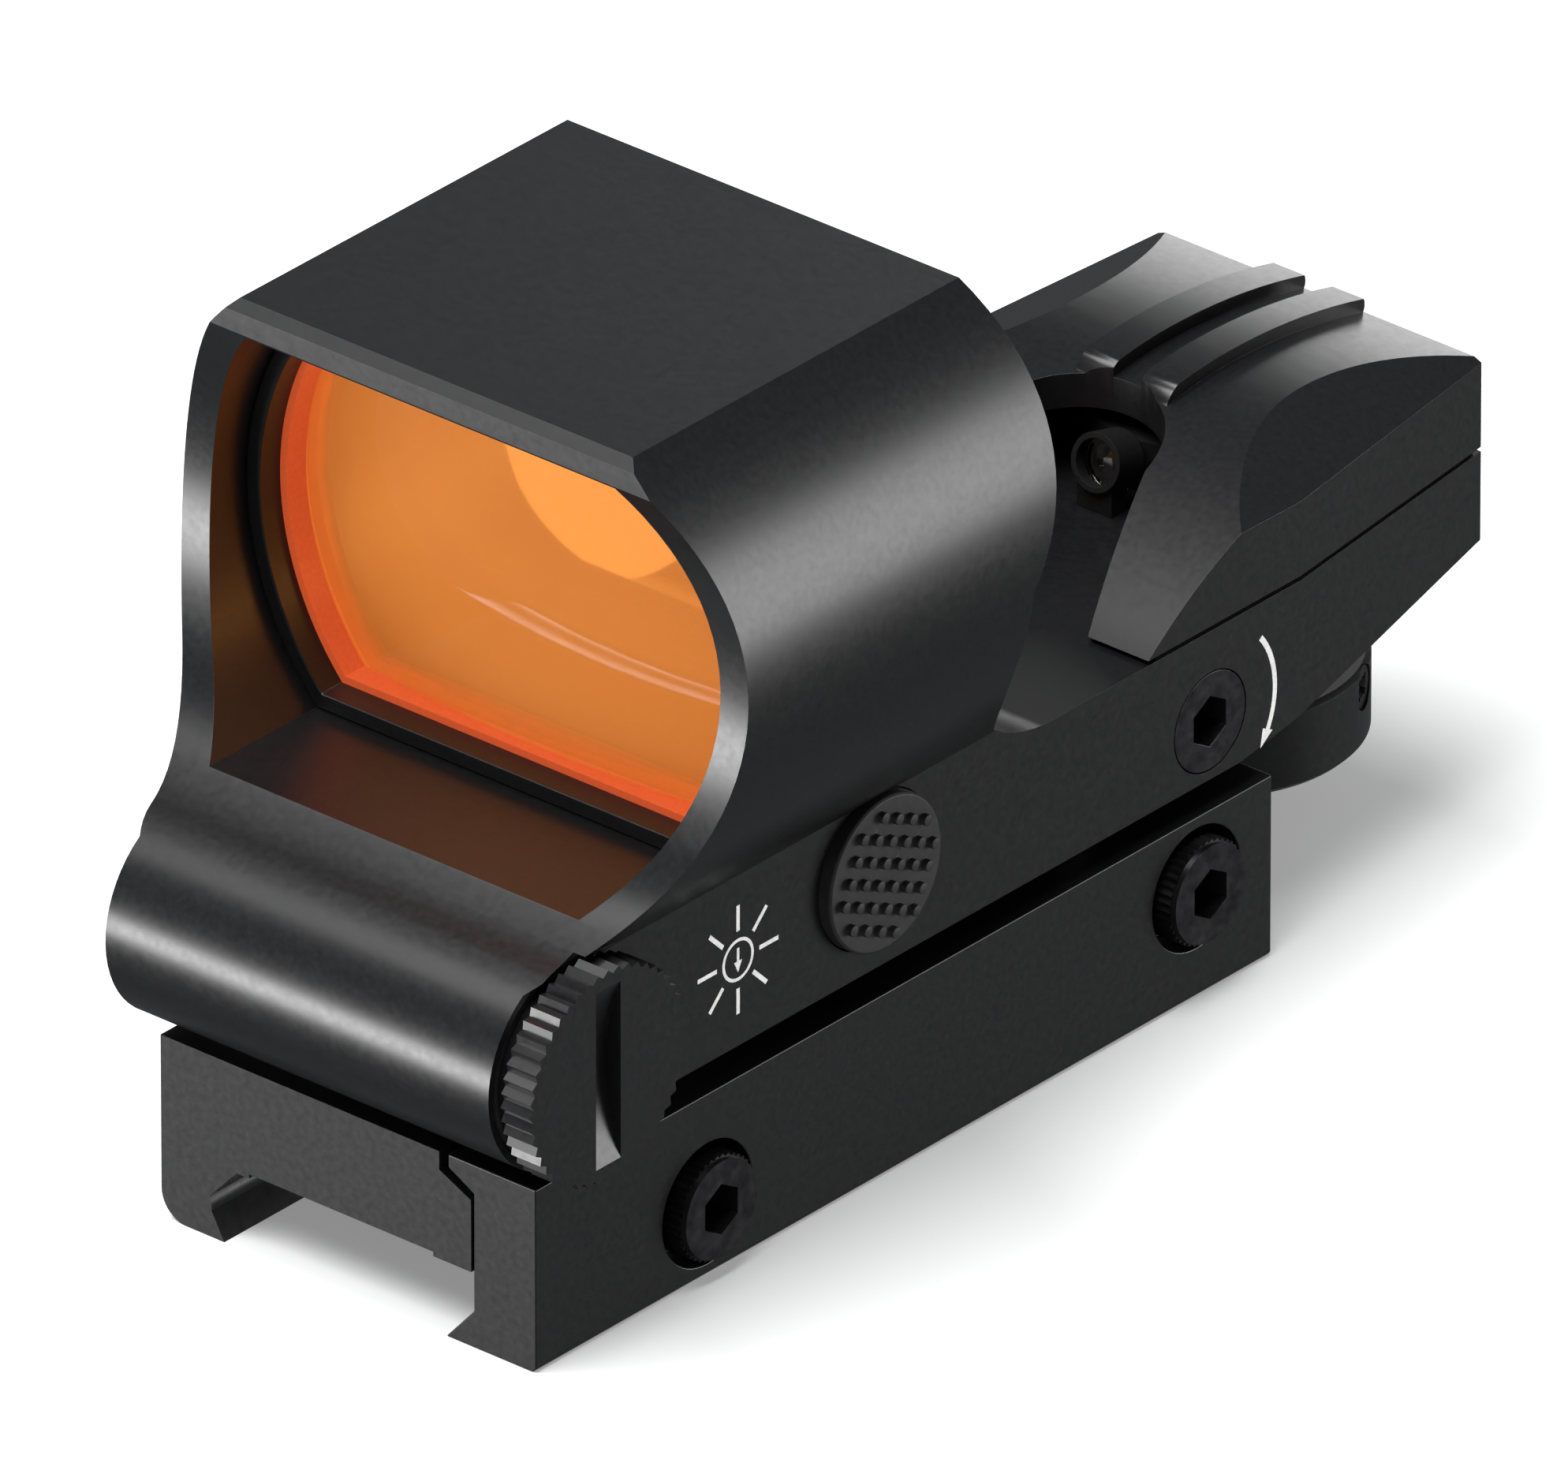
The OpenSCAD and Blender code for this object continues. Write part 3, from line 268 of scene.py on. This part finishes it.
def smooth_shading():
    """A node group that shades every face smooth, for use as a modifier."""
    group = bpy.data.node_groups.new("smooth_shading", "GeometryNodeTree")
    group.interface.new_socket("Geometry", in_out="INPUT", socket_type="NodeSocketGeometry")
    group.interface.new_socket("Geometry", in_out="OUTPUT", socket_type="NodeSocketGeometry")
    start = group.nodes.new("NodeGroupInput")
    shade = group.nodes.new("GeometryNodeSetShadeSmooth")
    end = group.nodes.new("NodeGroupOutput")
    group.links.new(start.outputs["Geometry"], shade.inputs["Geometry"])
    group.links.new(shade.outputs["Geometry"], end.inputs["Geometry"])
    return group


def break_edges(piece, width, group):
    """Joins the faces, then rounds every sharp edge a little and shades the rest smooth."""
    weld = piece.modifiers.new("weld", "WELD")
    weld.merge_threshold = WELD_GAP
    flat = piece.modifiers.new("flat", "DECIMATE")
    flat.decimate_type = "DISSOLVE"
    flat.angle_limit = FLAT_ANGLE
    bevel = piece.modifiers.new("bevel", "BEVEL")
    bevel.width = width
    bevel.segments = 2
    bevel.limit_method = "ANGLE"
    bevel.angle_limit = EDGE_ANGLE
    shade = piece.modifiers.new("shade", "NODES")
    shade.node_group = group
    piece.modifiers.new("normals", "WEIGHTED_NORMAL")


def finish_frame(materials):
    """Each CAD node gets its slot's finish, or the flat black if it is a MATT node, and all but the UNBROKEN
    nodes get finely bevelled edges.
    """
    slots = {part["node"]: part["material_slot"] for part in frame["record"]["subparts"]}
    group = smooth_shading()
    for name, node in frame["nodes"].items():
        finish = "matt_black" if name in MATT else slots[name]
        node.data.materials.clear()
        node.data.materials.append(materials[finish])
        if name not in UNBROKEN:
            break_edges(node, FINE_EDGE if name in FINE else EDGE, group)


# ---- Printed marks -------------------------------------------------------

INK = 0.02 * MM             # thickness of the printing


def link_piece(mesh, name, finish):
    """A new piece of the sight body, made from a bmesh."""
    data = bpy.data.meshes.new(name)
    mesh.to_mesh(data)
    mesh.free()
    data.materials.append(finish)
    piece = bpy.data.objects.new(name, data)
    bpy.context.scene.collection.objects.link(piece)
    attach(piece, "sight")
    return piece


def print_on_side(outlines, name, centre, side, finish):
    """Outlines round centre, given as (y, z) in millimetres, raised off the side wall at x = side."""
    mesh = bmesh.new()
    for outline in outlines:
        mesh.faces.new([mesh.verts.new((side, centre[0] + y * MM, centre[1] + z * MM)) for y, z in outline])
    bmesh.ops.remove_doubles(mesh, verts=mesh.verts[:], dist=WELD_GAP)
    grown = bmesh.ops.extrude_face_region(mesh, geom=mesh.faces[:])
    raised = [v for v in grown["geom"] if isinstance(v, bmesh.types.BMVert)]
    bmesh.ops.translate(mesh, verts=raised, vec=(math.copysign(INK, side), 0, 0))
    bmesh.ops.recalc_face_normals(mesh, faces=mesh.faces[:])
    link_piece(mesh, name, finish)


def polar(radius, angle):
    return (radius * math.cos(angle), radius * math.sin(angle))


def turned(points, angle):
    c, s = math.cos(angle), math.sin(angle)
    return [(y * c - z * s, y * s + z * c) for y, z in points]


def bar(inner, outer, width, angle):
    """A straight stroke that points away from the centre at that angle."""
    half = width / 2
    return turned([(inner, -half), (outer, -half), (outer, half), (inner, half)], angle)


def ring(radius, width, steps=36):
    """A circle drawn with a stroke, as quads that meet all round."""
    low, high = radius - width / 2, radius + width / 2
    angles = [2 * math.pi * i / steps for i in range(steps + 1)]
    return [[polar(low, a), polar(high, a), polar(high, b), polar(low, b)] for a, b in zip(angles, angles[1:])]


def arrow(back, tip, width, head, head_width, angle):
    """A straight arrow from back to tip along the angle, with a head that long and wide."""
    neck = tip - head
    half, head_half = width / 2, head_width / 2
    return turned([(back, -half), (neck, -half), (neck, -head_half), (tip, 0),
                   (neck, head_half), (neck, half), (back, half)], angle)


def curved_arrow(radius, width, head, head_width, start, end, steps=24):
    """An arc from angle start to end, then a head that goes on along it."""
    angles = [start + (end - start) * i / steps for i in range(steps + 1)]
    outer = [polar(radius + width / 2, a) for a in angles]
    inner = [polar(radius - width / 2, a) for a in reversed(angles)]
    tip = polar(radius, end + math.copysign(head / radius, end - start))
    return outer + [polar(radius + head_width / 2, end), tip, polar(radius - head_width / 2, end)] + inner


def middle(name):
    """The (y, z) of the middle of a node's box."""
    low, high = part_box(name)
    return (low[1] + high[1]) / 2, (low[2] + high[2]) / 2


def sun_mark(side, up, name, finish):
    """Ring with eight rays and a small arrow in the middle, ahead of the button: up is 1 or -1."""
    ahead, drop = 12.6 * MM, 0.9 * MM
    y, z = middle("button_down")
    outlines = ring(radius=1.33, width=0.22)
    outlines += [bar(inner=1.95, outer=3.7, width=0.3, angle=math.radians(45 * i)) for i in range(8)]
    outlines.append(arrow(back=-0.8, tip=0.85, width=0.22, head=0.75, head_width=0.72,
                          angle=math.radians(90 * up)))
    print_on_side(outlines, name, (y - ahead, z - drop), side, finish)


def windage_mark(side, finish):
    """Curved arrow round the windage screw's rear side."""
    outline = curved_arrow(radius=6.05, width=0.38, head=1.25, head_width=1.0,
                           start=math.radians(39), end=math.radians(-27))
    print_on_side([outline], "windage_arrow", middle("windage_screw"), side, finish)


def print_marks(finish):
    """Marks on both side walls, whose places are those of the windage screw's flush face and its mirror."""
    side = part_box("windage_screw")[1][0]
    sun_mark(side, -1, "dimmer_mark", finish)
    sun_mark(-side, 1, "brighter_mark", finish)
    windage_mark(side, finish)


# ---- Sealant round the lens ----------------------------------------------

HOOD_AXIS = 37.2 * MM       # height of the hood's and the lens's axis
LENS_FRONT_R = 108.6 * MM   # radius of the lens's front face


def window_ring(radius, floor, ceiling, steps=40):
    """Points round a circle about the origin whose bottom and top are cut off flat at floor and ceiling."""
    low, high = math.asin(floor / radius), math.asin(ceiling / radius)
    right = [polar(radius, low + (high - low) * i / steps) for i in range(steps + 1)]
    return right + [(-x, z) for x, z in reversed(right)]


def lens_bead(finish):
    """Bead of sealant inside the retainer, from halfway down its bore to the curved face of the lens."""
    low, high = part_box("lens_retainer")
    rim = 1.06 * MM             # width of the retainer's ring, less a hair
    thick = 0.5 * MM
    reach = 1.9 * MM            # how far the bead stands in front of the lens's rim
    gap = 0.01 * MM             # between the bead and the glass
    radius = (high[0] - low[0]) / 2
    front = high[1] - reach
    glass_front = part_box("objective_lens")[0][1]

    def outline(inset):
        return window_ring(radius - inset, low[2] + inset - HOOD_AXIS, high[2] - inset - HOOD_AXIS)

    def front_row(inset):
        return [(x, front, z + HOOD_AXIS) for x, z in outline(inset)]

    def rear_row(inset):
        """Follows the lens's curved face, a hair in front of it."""
        return [(x, glass_front + LENS_FRONT_R - math.sqrt(LENS_FRONT_R ** 2 - x ** 2 - z ** 2) - gap,
                 z + HOOD_AXIS) for x, z in outline(inset)]

    mesh = bmesh.new()
    rows = [front_row(rim), front_row(rim + thick), rear_row(rim + thick), rear_row(rim)]
    rings = [[mesh.verts.new(point) for point in row] for row in rows]
    for a, b in zip(rings, rings[1:] + rings[:1]):
        for i in range(len(a)):
            k = (i + 1) % len(a)
            mesh.faces.new((a[i], a[k], b[k], b[i]))
    bmesh.ops.recalc_face_normals(mesh, faces=mesh.faces[:])
    link_piece(mesh, "lens_bead", finish)


# ---- Light and floor -----------------------------------------------------

STAGE_CENTRE = Vector((0, 5, 20)) * MM


def area_light(name, place, size, watts):
    """A softbox at that place in metres, aimed at the middle of the sight."""
    data = bpy.data.lights.new(name, "AREA")
    data.shape = "RECTANGLE"
    data.size, data.size_y = size
    data.energy = watts
    light = bpy.data.objects.new(name, data)
    light.location = Vector(place)
    light.rotation_euler = (Vector(place) - STAGE_CENTRE).to_track_quat("Z", "Y").to_euler()
    bpy.context.scene.collection.objects.link(light)


def make_floor():
    """A pale floor under the clamp, which the satin black doesn't mirror."""
    low = cad_box[0][2]
    half = 6.0
    mesh = bpy.data.meshes.new("floor")
    mesh.from_pydata([(-half, -half, low), (half, -half, low), (half, half, low), (-half, half, low)],
                     [], [(0, 1, 2, 3)])
    pale = Surface("pale_floor", (0.9, 0.9, 0.9), 0.9, Emission_Color=(1, 1, 1, 1), Emission_Strength=0.25)
    mesh.materials.append(pale.material)
    floor = bpy.data.objects.new("floor", mesh)
    floor.visible_glossy = False
    floor.visible_shadow = False
    bpy.context.scene.collection.objects.link(floor)


def make_sky():
    world = bpy.data.worlds.new("sky")
    world.use_nodes = True
    background = world.node_tree.nodes["Background"]
    background.inputs["Color"].default_value = (0.95, 0.97, 1.0, 1.0)
    background.inputs["Strength"].default_value = 0.12
    bpy.context.scene.world = world
    bpy.context.scene.view_settings.view_transform = "Standard"


def make_lights():
    """One softbox above, and strips whose reflections run along the hood, the nose and the crown."""
    area_light("top_box", (-0.1, -0.3, 0.95), (0.8, 0.8), 17)
    area_light("side_strip", (0.73, 0.67, 0.0), (0.7, 0.42), 5.5)
    area_light("front_strip", (-0.58, -0.78, -0.19), (0.7, 0.22), 8)
    area_light("rear_strip", (-0.48, 0.87, 0.14), (0.36, 0.5), 1.7)


make_camera()
finishes = make_materials()
finish_frame(finishes)
print_marks(printed_ink())
lens_bead(finishes["sealant"])
make_floor()
make_sky()
make_lights()
